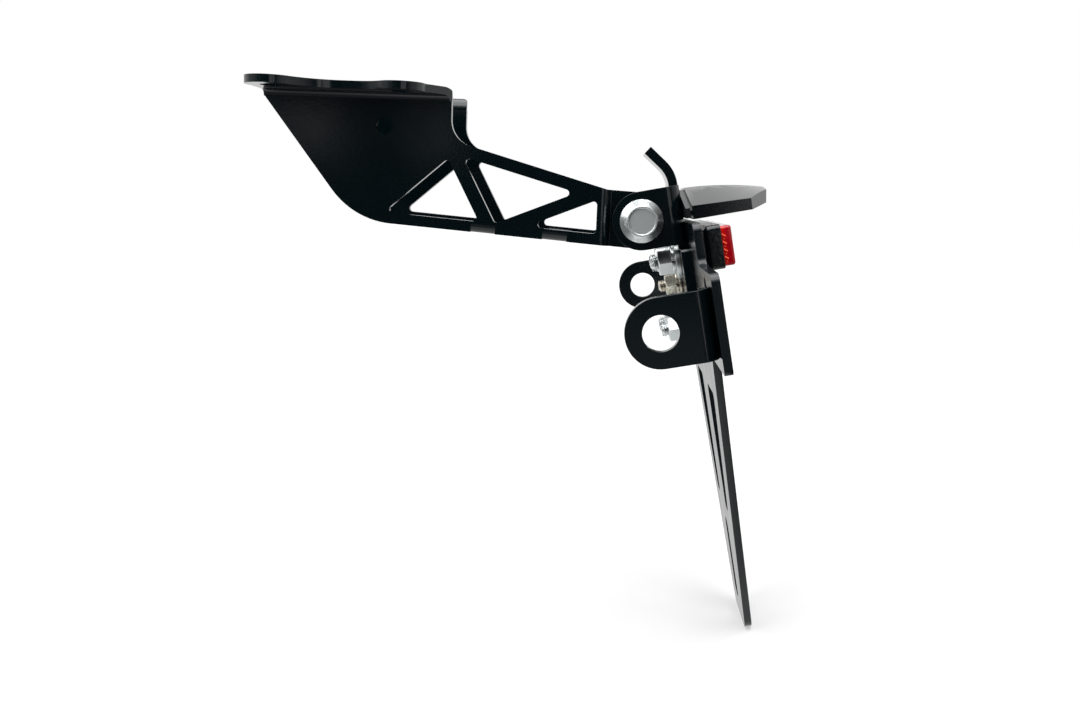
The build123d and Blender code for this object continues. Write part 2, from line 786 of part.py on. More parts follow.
with BuildPart(front_facing(hinge_front)) as locating_washer:
    with Locations(m4_point):
        add(flat_washer(m4_washer_radius, m4_hole_radius, m4_washer_height))

with BuildPart(front_facing(m4_spring_seat)) as locating_spring:
    with Locations(m4_point):
        add(spring_washer(m4_spring_radius, m4_hole_radius, m4_spring_height))

with BuildPart(front_facing(m4_spring_seat - m4_spring_height)) as locating_nut:
    with Locations(m4_point):
        add(hex_nut(m4_nut_flats, m4_nut_height, m4_radius))

# Reflector: pad, tray and red block
reflector_middle = (0, -reflector_top_drop - reflector_height / 2)
tray_front = holder_rear + reflector_pad_height
tray_rear = tray_front + reflector_tray_height
with BuildPart() as reflector_pad:
    with BuildSketch(rear_facing(holder_rear)):
        with Locations(reflector_middle):
            pad_width = 2 * (reflector_half_width - reflector_pad_inset)
            RectangleRounded(pad_width, reflector_height - 2 * reflector_pad_inset, reflector_corner_radius)
    extrude(amount=reflector_pad_height)

with BuildPart() as reflector_tray:
    with BuildSketch(rear_facing(tray_front)):
        with Locations(reflector_middle):
            RectangleRounded(2 * reflector_half_width, reflector_height, reflector_corner_radius)
    extrude(amount=reflector_tray_height)
    chamfer(reflector_tray.faces().sort_by(Axis(pivot, out))[0].edges(), reflector_chamfer)
    with BuildSketch(rear_facing(tray_front + reflector_floor)):
        with Locations(reflector_middle):
            RectangleRounded(
                2 * (reflector_half_width - reflector_wall),
                reflector_height - 2 * reflector_wall,
                reflector_corner_radius - reflector_wall,
            )
    extrude(amount=reflector_tray_height, mode=Mode.SUBTRACT)

with BuildPart() as reflector_lens:
    lens_inset = reflector_wall + reflector_lens_gap
    with BuildSketch(rear_facing(tray_front + reflector_floor)):
        with Locations(reflector_middle):
            RectangleRounded(
                2 * (reflector_half_width - lens_inset),
                reflector_height - 2 * lens_inset,
                reflector_corner_radius - reflector_wall,
            )
    extrude(amount=reflector_tray_height - reflector_floor + reflector_lens_proud)
    fillet(reflector_lens.faces().sort_by(Axis(pivot, out))[-1].edges(), reflector_lens_round)

# Plate light: rubber seat, gabled hood, lamp board and clear window
hood_front = pivot_to_plate + seat_height


def gable(half_width, floor, eave, ridge):
    """Corners of the hood's cross section, a low roof with a flat ridge."""
    return [
        (-half_width, floor),
        (half_width, floor),
        (half_width, eave),
        (hood_ridge_half_width, ridge),
        (-hood_ridge_half_width, ridge),
        (-half_width, eave),
    ]


def seat_gable(inset):
    """Corners of the seat's cross section, inside the hood's by an inset."""
    return gable(
        hood_half_width - inset, inset - hood_floor_drop, hood_eave_rise - inset, hood_ridge_rise - inset
    )


with BuildPart() as light_seat:
    with BuildSketch(rear_facing(pivot_to_plate)):
        Polygon(*seat_gable(seat_inset), align=None)
    extrude(amount=seat_height - seat_groove_width)
    with BuildSketch(rear_facing(pivot_to_plate)):
        Polygon(*seat_gable(seat_inset + seat_groove_depth), align=None)
    extrude(amount=seat_height)
    with BuildSketch(rear_facing(pivot_to_plate)):
        with Locations(*light_screw_points):
            Circle(light_screw_radius)
        with Locations((0, wire_rise)):
            Circle(wire_radius)
    extrude(amount=seat_height, mode=Mode.SUBTRACT)

lamp_depth = lamp_window_height + lamp_chip_height + lamp_board_height
lamp_front = hood_front + lamp_from_seat
hood_rear = hood_front + hood_length
with BuildPart() as light_hood:
    with BuildSketch(rear_facing(hood_front)):
        front_corners = gable(hood_half_width, -hood_floor_drop, hood_eave_rise, hood_ridge_rise)
        Polygon(*front_corners, align=None)
    with BuildSketch(rear_facing(hood_front + hood_length / 2)):
        middle_eave_rise = (hood_eave_rise + hood_rear_eave_rise) / 2
        middle_corners = gable(hood_half_width, -hood_floor_drop, middle_eave_rise, hood_middle_ridge_rise)
        Polygon(*middle_corners, align=None)
    with BuildSketch(rear_facing(hood_rear)):
        rear_corners = gable(hood_half_width, -hood_floor_drop, hood_rear_eave_rise, hood_rear_ridge_rise)
        Polygon(*rear_corners, align=None)
    loft()
    with BuildSketch(section_plane.offset(-hood_floor_drop)):
        with BuildLine():
            Polyline(
                (hood_front, -hood_half_width),
                (hood_front + hood_side_length, -hood_half_width),
                (hood_rear, -hood_nose_half_width),
                (hood_rear, hood_nose_half_width),
                (hood_front + hood_side_length, hood_half_width),
                (hood_front, hood_half_width),
                close=True,
            )
        make_face()
    extrude(amount=2 * hood_ridge_rise, mode=Mode.INTERSECT)
    with BuildSketch(side_plane):
        with BuildLine():
            Polyline(
                (hood_front, -hood_floor_drop),
                (hood_front + hood_side_length, -hood_floor_drop),
                (hood_rear - hood_tip_lean, hood_tip_floor_rise - hood_floor_drop),
                (hood_rear, hood_rear_ridge_rise),
                (hood_rear, hood_ridge_rise),
                (hood_front, hood_ridge_rise),
                close=True,
            )
        make_face()
    extrude(amount=hood_half_width, both=True, mode=Mode.INTERSECT)
    with BuildSketch(section_plane.offset(-hood_floor_drop)):
        with Locations((lamp_front + lamp_length / 2, 0)):
            Rectangle(lamp_length, 2 * lamp_half_width)
    extrude(amount=lamp_depth, mode=Mode.SUBTRACT)
    with BuildSketch(rear_facing(hood_front)):
        with Locations(*light_screw_points):
            Circle(light_screw_radius)
    extrude(amount=light_screw_depth, mode=Mode.SUBTRACT)
    with BuildSketch(rear_facing(hood_front)):
        with Locations((0, wire_rise)):
            Circle(wire_radius)
    extrude(amount=lamp_from_seat, mode=Mode.SUBTRACT)

with BuildPart() as light_board:
    chip_seat = lamp_depth - lamp_board_height - hood_floor_drop
    with BuildSketch(section_plane.offset(chip_seat)):
        with Locations((lamp_front + lamp_length / 2, 0)):
            Rectangle(lamp_length, 2 * lamp_half_width)
    extrude(amount=lamp_board_height)
    with BuildSketch(section_plane.offset(chip_seat)):
        with Locations((lamp_front + lamp_length / 2, 0)):
            with GridLocations(0, lamp_chip_pitch, 1, 3):
                Rectangle(lamp_chip_size, lamp_chip_size)
    extrude(amount=-lamp_chip_height)

with BuildPart() as light_window:
    with BuildSketch(section_plane.offset(-hood_floor_drop)):
        with Locations((lamp_front + lamp_length / 2, 0)):
            Rectangle(lamp_length - 2 * lamp_window_gap, 2 * (lamp_half_width - lamp_window_gap))
    extrude(amount=lamp_window_height)

with BuildPart() as light_screw:
    with BuildSketch():
        Circle(light_screw_head_radius)
    extrude(amount=light_screw_head_height)
    fillet(light_screw.edges().sort_by(Axis.Z)[-1], light_screw_head_round)
    with BuildSketch(Plane.XY.offset(light_screw_head_height)):
        RegularPolygon(light_screw_socket_flats / 2, 6, major_radius=False)
    extrude(amount=-light_screw_socket_depth, mode=Mode.SUBTRACT)
    with BuildSketch():
        Circle(light_screw_radius)
    extrude(amount=-hinge_sheet - seat_height - light_screw_depth)

with BuildPart(front_facing(hinge_front)) as light_screws:
    with Locations(*light_screw_points):
        add(light_screw.part)

with BuildPart() as wire_grommet:
    with BuildSketch(front_facing(hinge_front)):
        with Locations((0, wire_rise)):
            Circle(grommet_lip_radius)
            Circle(wire_radius, mode=Mode.SUBTRACT)
    extrude(amount=grommet_lip_height)
    with BuildSketch(rear_facing(hinge_front)):
        with Locations((0, wire_rise)):
            Circle(grommet_neck_radius)
            Circle(wire_radius, mode=Mode.SUBTRACT)
    extrude(amount=hinge_sheet)

os.makedirs("parts", exist_ok=True)
arm_bracket.part.label = "arm_bracket"
export_step(arm_bracket.part, "parts/arm_bracket.step")
pivot_bolts.part.label = "pivot_bolts"
export_step(pivot_bolts.part, "parts/pivot_bolts.step")
pivot_nuts.part.label = "pivot_nuts"
export_step(pivot_nuts.part, "parts/pivot_nuts.step")
hinge_bracket.part.label = "hinge_bracket"
export_step(hinge_bracket.part, "parts/hinge_bracket.step")
plate_holder.part.label = "plate_holder"
export_step(plate_holder.part, "parts/plate_holder.step")
holder_screws.part.label = "holder_screws"
export_step(holder_screws.part, "parts/holder_screws.step")
wide_washers.part.label = "wide_washers"
export_step(wide_washers.part, "parts/wide_washers.step")
spring_washers.part.label = "spring_washers"
export_step(spring_washers.part, "parts/spring_washers.step")
holder_nuts.part.label = "holder_nuts"
export_step(holder_nuts.part, "parts/holder_nuts.step")
locating_screw.part.label = "locating_screw"
export_step(locating_screw.part, "parts/locating_screw.step")
locating_washer.part.label = "locating_washer"
export_step(locating_washer.part, "parts/locating_washer.step")
locating_spring.part.label = "locating_spring_washer"
export_step(locating_spring.part, "parts/locating_spring_washer.step")
locating_nut.part.label = "locating_nut"
export_step(locating_nut.part, "parts/locating_nut.step")
reflector_pad.part.label = "reflector_pad"
export_step(reflector_pad.part, "parts/reflector_pad.step")
reflector_tray.part.label = "reflector_tray"
export_step(reflector_tray.part, "parts/reflector_tray.step")
reflector_lens.part.label = "reflector_lens"
export_step(reflector_lens.part, "parts/reflector_lens.step")
light_seat.part.label = "light_seat"
export_step(light_seat.part, "parts/light_seat.step")
light_hood.part.label = "light_hood"
export_step(light_hood.part, "parts/light_hood.step")
light_board.part.label = "light_board"
export_step(light_board.part, "parts/light_board.step")
light_window.part.label = "light_window"
export_step(light_window.part, "parts/light_window.step")
light_screws.part.label = "light_screws"
export_step(light_screws.part, "parts/light_screws.step")
wire_grommet.part.label = "wire_grommet"
export_step(wire_grommet.part, "parts/wire_grommet.step")
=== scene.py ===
import math

import bmesh
import bpy
from mathutils import Matrix, Vector


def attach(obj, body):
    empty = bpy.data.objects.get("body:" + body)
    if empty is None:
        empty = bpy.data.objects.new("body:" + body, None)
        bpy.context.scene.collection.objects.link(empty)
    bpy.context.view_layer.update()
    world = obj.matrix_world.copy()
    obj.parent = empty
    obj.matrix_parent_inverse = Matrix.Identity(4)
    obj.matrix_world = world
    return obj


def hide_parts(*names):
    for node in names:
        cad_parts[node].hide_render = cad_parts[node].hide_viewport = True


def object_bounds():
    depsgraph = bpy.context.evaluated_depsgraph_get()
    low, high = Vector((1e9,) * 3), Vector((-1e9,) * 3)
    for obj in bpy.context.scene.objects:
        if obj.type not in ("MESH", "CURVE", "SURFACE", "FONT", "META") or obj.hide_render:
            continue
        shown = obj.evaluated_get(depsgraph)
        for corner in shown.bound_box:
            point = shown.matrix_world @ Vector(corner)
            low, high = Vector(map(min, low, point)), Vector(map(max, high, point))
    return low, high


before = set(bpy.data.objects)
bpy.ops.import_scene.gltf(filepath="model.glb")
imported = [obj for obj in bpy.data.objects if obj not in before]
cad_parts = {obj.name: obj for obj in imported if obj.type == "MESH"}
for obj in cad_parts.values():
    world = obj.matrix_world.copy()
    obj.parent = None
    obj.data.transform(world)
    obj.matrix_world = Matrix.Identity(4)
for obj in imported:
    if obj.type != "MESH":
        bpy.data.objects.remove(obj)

cad_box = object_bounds()

# Studio: a white sweep under and behind the part, softboxes above it and at its left, and a dim room
# behind the camera. The part stands on the tip of its tail, so the floor lies at its lowest point and
# keeps the small soft shadow there.
scene = bpy.context.scene
scene.view_settings.view_transform = "Standard"
floor_width = 8.0
floor_level = cad_box[0][2]
floor_middle = (0.1, 0.0, floor_level)
floor_colour = "#c4c5c4"
lift_reach = (0.1, 1.5)
lift_level = (0.44, 0.85)
ambient_light = 0.55
part_middle = (0.128, -0.015, -0.055)
room_dimness = 0.012
room_side_light = 0.6

# The room goes from dim to light between the two numbers of a pair: how much a direction of length 1
# points to a side, up or down, and to the back
side_turn = (0.55, 1.0)
tilt_turn = (0.38, 0.80)
back_turn = (-0.4, 0.1)


def linear(code):
    """Linear colour with full alpha from an sRGB hex value."""
    parts = [int(code[i:i + 2], 16) / 255 for i in (1, 3, 5)]
    return [c / 12.92 if c <= 0.04045 else ((c + 0.055) / 1.055) ** 2.4 for c in parts] + [1.0]


def add_node(tree, kind, inputs=None, links=None, **settings):
    """Adds one node with its settings, its input values and the links into it."""
    node = tree.nodes.new(kind)
    for name, value in settings.items():
        setattr(node, name, value)
    for name, value in (inputs or {}).items():
        node.inputs[name].default_value = value
    for name, socket in (links or {}).items():
        tree.links.new(socket, node.inputs[name])
    return node


def new_material(name):
    """Empty node material and its tree."""
    material = bpy.data.materials.new(name)
    material.use_nodes = True
    material.node_tree.nodes.clear()
    return material, material.node_tree


def link_object(name, data):
    """Object in the scene that carries this mesh, lamp or camera."""
    piece = bpy.data.objects.new(name, data)
    scene.collection.objects.link(piece)
    return piece


def seen_room(tree, way):
    """What a gloss sees that way: dim around the camera, light to the sides, above, below and behind."""
    axes = add_node(tree, "ShaderNodeSeparateXYZ", {}, {0: way})
    aside = add_node(tree, "ShaderNodeMath", {}, {0: axes.outputs["X"]}, operation="ABSOLUTE")
    side = add_node(
        tree, "ShaderNodeMapRange",
        {"From Min": side_turn[0], "From Max": side_turn[1],
         "To Min": room_dimness, "To Max": room_side_light},
        {"Value": aside.outputs[0]}, interpolation_type="SMOOTHSTEP",
    )
    tilt = add_node(tree, "ShaderNodeMath", {}, {0: axes.outputs["Z"]}, operation="ABSOLUTE")
    height = add_node(
        tree, "ShaderNodeMapRange", {"From Min": tilt_turn[0], "From Max": tilt_turn[1]},
        {"Value": tilt.outputs[0]}, interpolation_type="SMOOTHSTEP",
    )
    back = add_node(
        tree, "ShaderNodeMapRange", {"From Min": back_turn[0], "From Max": back_turn[1]},
        {"Value": axes.outputs["Y"]},
    )
    wide = add_node(
        tree, "ShaderNodeMath", {}, {0: side.outputs[0], 1: height.outputs[0]}, operation="MAXIMUM"
    )
    room = add_node(
        tree, "ShaderNodeMath", {}, {0: wide.outputs[0], 1: back.outputs[0]}, operation="MAXIMUM"
    )
    return room, axes


# Matt white vinyl floor: it bounces plain light to the part. Rays from the camera see it lifted to
# white, with the part's shadow still darker. A gloss sees the room in it, with a dim patch at the
# front right. The pairs say how far right and back the patch reaches, and how far down the near floor
# starts
patch_turn = (0.20, 0.42)
patch_light = (0.95, 0.05)
patch_back = (-0.4, -0.1)
near_turn = (-0.06, -0.16)
near_light = 0.2
floor_vinyl, tree = new_material("matt_white_vinyl")
path = add_node(tree, "ShaderNodeLightPath")
clear = add_node(
    tree, "ShaderNodeMath", {},
    {0: path.outputs["Is Camera Ray"], 1: path.outputs["Is Transmission Ray"]}, operation="MAXIMUM",
)
plain = add_node(tree, "ShaderNodeBsdfDiffuse", {"Color": linear(floor_colour)})
spot = add_node(tree, "ShaderNodeNewGeometry")
away = add_node(
    tree, "ShaderNodeVectorMath", {1: floor_middle}, {0: spot.outputs["Position"]}, operation="DISTANCE"
)
lift = add_node(
    tree, "ShaderNodeMapRange",
    {"From Min": lift_reach[0], "From Max": lift_reach[1],
     "To Min": lift_level[0], "To Max": lift_level[1]},
    {"Value": away.outputs["Value"]},
)
glow = add_node(tree, "ShaderNodeEmission", {}, {"Strength": lift.outputs[0]})
lifted = add_node(tree, "ShaderNodeAddShader", {}, {0: plain.outputs[0], 1: glow.outputs[0]})
lit = add_node(
    tree, "ShaderNodeMixShader", {}, {0: clear.outputs[0], 1: plain.outputs[0], 2: lifted.outputs[0]}
)
reach = add_node(
    tree, "ShaderNodeVectorMath", {1: part_middle}, {0: spot.outputs["Position"]}, operation="SUBTRACT"
)
way = add_node(tree, "ShaderNodeVectorMath", {}, {0: reach.outputs[0]}, operation="NORMALIZE")
room, axes = seen_room(tree, way.outputs[0])
right = add_node(
    tree, "ShaderNodeMapRange",
    {"From Min": patch_turn[0], "From Max": patch_turn[1],
     "To Min": patch_light[0], "To Max": patch_light[1]},
    {"Value": axes.outputs["X"]}, interpolation_type="SMOOTHSTEP",
)
front = add_node(
    tree, "ShaderNodeMapRange", {"From Min": patch_back[0], "From Max": patch_back[1]},
    {"Value": axes.outputs["Y"]},
)
patch = add_node(
    tree, "ShaderNodeMath", {}, {0: right.outputs[0], 1: front.outputs[0]}, operation="MAXIMUM"
)
near = add_node(
    tree, "ShaderNodeMapRange", {"From Min": near_turn[0], "From Max": near_turn[1], "To Max": near_light},
    {"Value": axes.outputs["Z"]},
)
white = add_node(
    tree, "ShaderNodeMath", {}, {0: room.outputs[0], 1: near.outputs[0]}, operation="MAXIMUM"
)
mirror = add_node(
    tree, "ShaderNodeMath", {}, {0: white.outputs[0], 1: patch.outputs[0]}, operation="MULTIPLY"
)
mirrored = add_node(tree, "ShaderNodeEmission", {}, {"Strength": mirror.outputs[0]})
choice = add_node(
    tree, "ShaderNodeMixShader", {},
    {0: path.outputs["Is Glossy Ray"], 1: lit.outputs[0], 2: mirrored.outputs[0]},
)
add_node(tree, "ShaderNodeOutputMaterial", {}, {"Surface": choice.outputs[0]})
floor_mesh = bpy.data.meshes.new("floor")
half = floor_width / 2
floor_mesh.from_pydata(
    [(x * half, y * half, floor_level) for x, y in ((-1, -1), (1, -1), (1, 1), (-1, 1))], [], [(0, 1, 2, 3)]
)
floor_mesh.materials.append(floor_vinyl)
floor = link_object("floor", floor_mesh)

# World: white to the camera and through clear parts. A gloss sees the room, and a matt surface takes
# a part of its light
world = bpy.data.worlds.new("white_sweep")
scene.world = world
world.use_nodes = True
tree = world.node_tree
tree.nodes.clear()
path = add_node(tree, "ShaderNodeLightPath")
way = add_node(tree, "ShaderNodeTexCoord")
room, axes = seen_room(tree, way.outputs["Generated"])
share = add_node(
    tree, "ShaderNodeMapRange", {"To Min": ambient_light, "To Max": 1.0},
    {"Value": path.outputs["Is Glossy Ray"]},
)
light = add_node(
    tree, "ShaderNodeMath", {}, {0: share.outputs[0], 1: room.outputs[0]}, operation="MULTIPLY"
)
clear = add_node(
    tree, "ShaderNodeMath", {},
    {0: path.outputs["Is Camera Ray"], 1: path.outputs["Is Transmission Ray"]}, operation="MAXIMUM",
)
level = add_node(
    tree, "ShaderNodeMath", {}, {0: light.outputs[0], 1: clear.outputs[0]}, operation="MAXIMUM"
)
sky = add_node(
    tree, "ShaderNodeBackground", {"Color": linear("#ffffff")}, {"Strength": level.outputs[0]}
)
add_node(tree, "ShaderNodeOutputWorld", {}, {"Surface": sky.outputs[0]})

# Softboxes above and at the upper left, a tall strip at the right that draws the light lines on the
# bends, and dim cards far behind the camera that give the flat black faces their faint glow. A row has
# the lamp's place, width and height in metres, and its power in watts
lamp_aim = Vector((0.08, 0.0, -0.06))
for name, place, width, height, power in (
    ("softbox_above", (0.02, -0.10, 0.75), 0.9, 0.9, 9.0),
    ("softbox_left", (-0.55, -0.62, 0.42), 0.6, 0.6, 3.4),
    ("strip_right", (0.72, -1.18, 0.10), 0.14, 0.9, 0.5),
    ("card_right", (0.43, -1.20, 0.04), 0.28, 0.24, 0.22),
    ("card_left", (-0.355, -1.20, 0.05), 0.10, 0.05, 0.011),
    ("card_middle", (-0.155, -1.20, 0.05), 0.05, 0.06, 0.006),
):
    lamp = bpy.data.lights.new(name, "AREA")
    lamp.shape = "RECTANGLE"
    lamp.size = width
    lamp.size_y = height
    lamp.energy = power
    lamp_object = link_object(name, lamp)
    lamp_object.visible_camera = False
    lamp_object.location = place
    aim = lamp_aim - Vector(place)
    lamp_object.rotation_euler = aim.to_track_quat("-Z", "Y").to_euler()

# Camera: level with the arm, 350 mm to the left of the part, turned a little down and rolled by 2 degrees
camera_place = (0.108, -0.3506, -0.0335)
camera_right = Vector((0.996902, 0.068935, 0.037878))
camera_up = Vector((-0.048496, 0.159535, 0.986000))
camera_forward = Vector((-0.061927, 0.984782, -0.162384))
sensor_width_mm = 36.0
focal_pixels = 1000
picture_pixels = 1080
camera_data = bpy.data.cameras.new("camera")
camera_data.sensor_width = sensor_width_mm
camera_data.sensor_fit = "HORIZONTAL"
camera_data.lens = sensor_width_mm * focal_pixels / picture_pixels
camera_data.clip_start = 0.01
camera = link_object("camera", camera_data)
camera_turn = Matrix((camera_right, camera_up, -camera_forward)).transposed()
camera.matrix_world = Matrix.Translation(camera_place) @ camera_turn.to_4x4()
scene.camera = camera

# Arm bracket: laser-cut steel sheet, folded into two truss walls with lobed flanges and two straps
# underneath, then powder coated in satin black. It bolts up into the tail of the bike.
coat_black = "#040f13"
coat_peel_mm = 0.9
coat_cloud_mm = 18.0
coat_cloud_spread = 0.04
sheet_edge_mm = 0.14
weld_distance = 1e-6
flat_angle = math.radians(0.4)
crease_angle = math.radians(28)


def finished(node, name, edge_mm, body, material, prepare=None):
    """The CAD node's mesh with its sharp edges rounded, riding on its body in place of the node."""
    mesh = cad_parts[node].data.copy()
    mesh.materials.clear()
    shape = bmesh.new()
    shape.from_mesh(mesh)
    bmesh.ops.remove_doubles(shape, verts=shape.verts, dist=weld_distance)
    if prepare:
        prepare(shape)
    bmesh.ops.dissolve_limit(
        shape, angle_limit=flat_angle, verts=shape.verts, edges=shape.edges, use_dissolve_boundaries=False
    )
    sharp = [edge for edge in shape.edges if edge.calc_face_angle(0.0) > crease_angle]
    bmesh.ops.bevel(
        shape, geom=sharp, offset=edge_mm / 1000, offset_type="OFFSET", segments=2, profile=0.5,
        affect="EDGES", clamp_overlap=True, loop_slide=True, material=-1,
    )
    for face in shape.faces:
        face.smooth = True
    shape.to_mesh(mesh)
    shape.free()
    piece = link_object(name, mesh)
    mesh.materials.append(material)
    normals = piece.modifiers.new("flat_faces", "WEIGHTED_NORMAL")
    normals.keep_sharp = True
    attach(piece, body)
    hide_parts(node)
    return piece


# Powder coat: a black with a cool cast, dark where it faces the room and near white where it is seen
# along the surface. The orange peel is drawn twice as coarse as it is, so that it shows
def powder_coat(name, roughness):
    """Black powder coat with soft clouds in its gloss."""
    material, tree = new_material(name)
    place = add_node(tree, "ShaderNodeTexCoord")
    peel = add_node(
        tree, "ShaderNodeTexNoise", {"Scale": 1000 / coat_peel_mm, "Detail": 2.0, "Roughness": 0.5},
        {"Vector": place.outputs["Object"]},
    )
    cloud = add_node(
        tree, "ShaderNodeTexNoise", {"Scale": 1000 / coat_cloud_mm, "Detail": 3.0},
        {"Vector": place.outputs["Object"]},
    )
    rough = add_node(
        tree, "ShaderNodeMapRange",
        {"To Min": roughness - coat_cloud_spread, "To Max": roughness + coat_cloud_spread},
        {"Value": cloud.outputs["Fac"]},
    )
    bump = add_node(
        tree, "ShaderNodeBump", {"Strength": 0.25, "Distance": 0.00005}, {"Height": peel.outputs["Fac"]}
    )
    skin = add_node(
        tree, "ShaderNodeBsdfPrincipled", {"Base Color": linear(coat_black), "IOR": 1.5},
        {"Roughness": rough.outputs[0], "Normal": bump.outputs[0]},
    )
    add_node(tree, "ShaderNodeOutputMaterial", {}, {"Surface": skin.outputs[0]})
    return material


satin_black = powder_coat("satin_black_powder_coat_on_steel", roughness=0.14)
finished("arm_bracket", "arm_bracket_coated", sheet_edge_mm, "arm", satin_black)

# Pivot bolts and nuts: cold-headed steel with a rolled M6 thread, bright zinc plated. They clamp the
# ears of the hinge bracket on the arm's ears, one on each side.
pivot_radius_mm = 3.0
pivot_pitch_mm = 1.0
pivot_edge_mm = 0.28
nut_edge_mm = 0.3
lip_radius_mm = 0.4
dish_radius = 0.0043
dish_depth = 0.001
dish_facing = 0.98
rim_angle = 1.0
rim_tolerance = 1e-5
head_top = max(corner.co.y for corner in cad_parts["pivot_bolts"].data.vertices)
zinc_silver = "#d3d8d8"
zinc_patch_mm = 1.1
zinc_smoother = 0.08
zinc_duller = 0.10

# A thread's depth, flank and crest are shares of its pitch, and its foot reaches 1.2 depths down. The
# step from the shank to the root is in metres
thread_depth = 0.6
thread_flank = 0.44
thread_crest = 0.1
thread_foot = 1.2
steps_per_turn = 24
root_step = 0.00003
cut_tolerance = 1e-7


def zinc_plate(name, colour, roughness):
    """Zinc on cold-formed steel: a pale metal, cloudy where the plating is duller."""
    material, tree = new_material(name)
    place = add_node(tree, "ShaderNodeTexCoord")
    patch = add_node(
        tree, "ShaderNodeTexNoise", {"Scale": 1000 / zinc_patch_mm, "Detail": 3.0, "Roughness": 0.55},
        {"Vector": place.outputs["Object"]},
    )
    rough = add_node(
        tree, "ShaderNodeMapRange",
        {"To Min": roughness - zinc_smoother, "To Max": roughness + zinc_duller},
        {"Value": patch.outputs["Fac"]},
    )
    bump = add_node(
        tree, "ShaderNodeBump", {"Strength": 0.12, "Distance": 0.0001}, {"Height": patch.outputs["Fac"]}
    )
    skin = add_node(
        tree, "ShaderNodeBsdfPrincipled", {"Base Color": linear(colour), "Metallic": 1.0},
        {"Roughness": rough.outputs[0], "Normal": bump.outputs[0]},
    )
    add_node(tree, "ShaderNodeOutputMaterial", {}, {"Surface": skin.outputs[0]})
    return material


def shank_lines(node, along):
    """Each screw or nut of a node: a point on its middle line, its way forward and how far it reaches."""
    shape = bmesh.new()
    shape.from_mesh(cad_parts[node].data)
    bmesh.ops.remove_doubles(shape, verts=shape.verts, dist=weld_distance)
    # A dict keeps the order of the mesh, so that every run cuts the screws in the same order
    left = dict.fromkeys(shape.verts)
    lines = []
    while left:
        group = [left.popitem()[0]]
        for corner in group:
            for edge in corner.link_edges:
                other = edge.other_vert(corner)
                if other in left:
                    del left[other]
                    group.append(other)
        way = along(group[0].co)
        side = way.orthogonal().normalized()
        centre = Vector()
        for axis in (side, way.cross(side)):
            spread = [corner.co.dot(axis) for corner in group]
            centre += axis * (min(spread) + max(spread)) / 2
        lines.append((centre, way, max(corner.co.dot(way) for corner in group)))
    shape.free()
    return lines


def threaded_screws(
    node, nut, name, along, radius_mm, pitch_mm, edge_mm, body, material, prepare=None
):
    """Screws whose end past the nut is turned down to the root of the thread, with the thread on it."""
    radius = radius_mm / 1000
    pitch = pitch_mm / 1000
    depth = thread_depth * pitch
    flank = thread_flank * pitch
    crest = thread_crest * pitch
    foot = radius - thread_foot * depth
    around = 1.5 * radius
    ends = []
    for centre, way, end in shank_lines(node, along):
        faces = [
            face for nut_centre, nut_way, face in shank_lines(nut, along)
            if nut_way.dot(way) > 0 and (nut_centre - centre).length < radius
        ]
        ends.append((centre, way, max(faces), end))

    def turn_down(shape):
        if prepare:
            prepare(shape)
        for centre, way, seat, end in ends:
            for step in (0.0, root_step):
                geometry = shape.verts[:] + shape.edges[:] + shape.faces[:]
                bmesh.ops.bisect_plane(
                    shape, geom=geometry, dist=cut_tolerance, plane_co=centre + way * (seat + step),
                    plane_no=way,
                )
        for centre, way, seat, end in ends:
            for corner in shape.verts:
                reach = corner.co.dot(way)
                spoke = corner.co - way * reach - centre
                own = along(corner.co).dot(way) > 0
                if own and reach > seat + root_step / 2 and spoke.length < around:
                    corner.co -= spoke * (depth / radius)

    screws = finished(node, name, edge_mm, body, material, prepare=turn_down)
    thread = bmesh.new()
    profile = ((-flank, foot), (-crest, radius), (crest, radius), (flank, foot))
    for centre, way, seat, end in ends:
        side = way.orthogonal().normalized()
        other = way.cross(side)
        rings = []
        for step in range(int((end - seat - 2 * flank) / pitch * steps_per_turn) + 1):
            turn = step / steps_per_turn
            spoke = side * math.cos(2 * math.pi * turn) + other * math.sin(2 * math.pi * turn)
            middle = centre + way * (seat + flank + turn * pitch)
            rings.append(
                [thread.verts.new(middle + way * shift + spoke * reach) for shift, reach in profile]
            )
        for ring, after in zip(rings, rings[1:]):
            for corner in range(len(profile)):
                following = (corner + 1) % len(profile)
                thread.faces.new((ring[corner], ring[following], after[following], after[corner]))
        thread.faces.new(rings[0])
        thread.faces.new(rings[-1])
    bmesh.ops.recalc_face_normals(thread, faces=thread.faces)
    mesh = bpy.data.meshes.new(name + "_thread")
    thread.to_mesh(mesh)
    thread.free()
    mesh.materials.append(material)
    piece = link_object(name + "_thread", mesh)
    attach(piece, body)
    return screws


def towards_middle(point):
    """A pivot bolt points to the middle of the bracket."""
    return Vector((0, -math.copysign(1, point.y), 0))


def round_lip(shape):
    """Rounds the rim of the dish in each bolt head."""
    centre = shank_lines("pivot_bolts", towards_middle)[0][0].xz
    rim = []
    for edge in shape.edges:
        at_top = all(abs(corner.co.y) > head_top - rim_tolerance for corner in edge.verts)
        in_dish = all((corner.co.xz - centre).length < dish_radius for corner in edge.verts)
        if at_top and in_dish and edge.calc_face_angle(0.0) > rim_angle:
            rim.append(edge)
    bmesh.ops.bevel(
        shape, geom=rim, offset=lip_radius_mm / 1000, offset_type="OFFSET", segments=5, profile=0.5,
        affect="EDGES", clamp_overlap=False,
    )


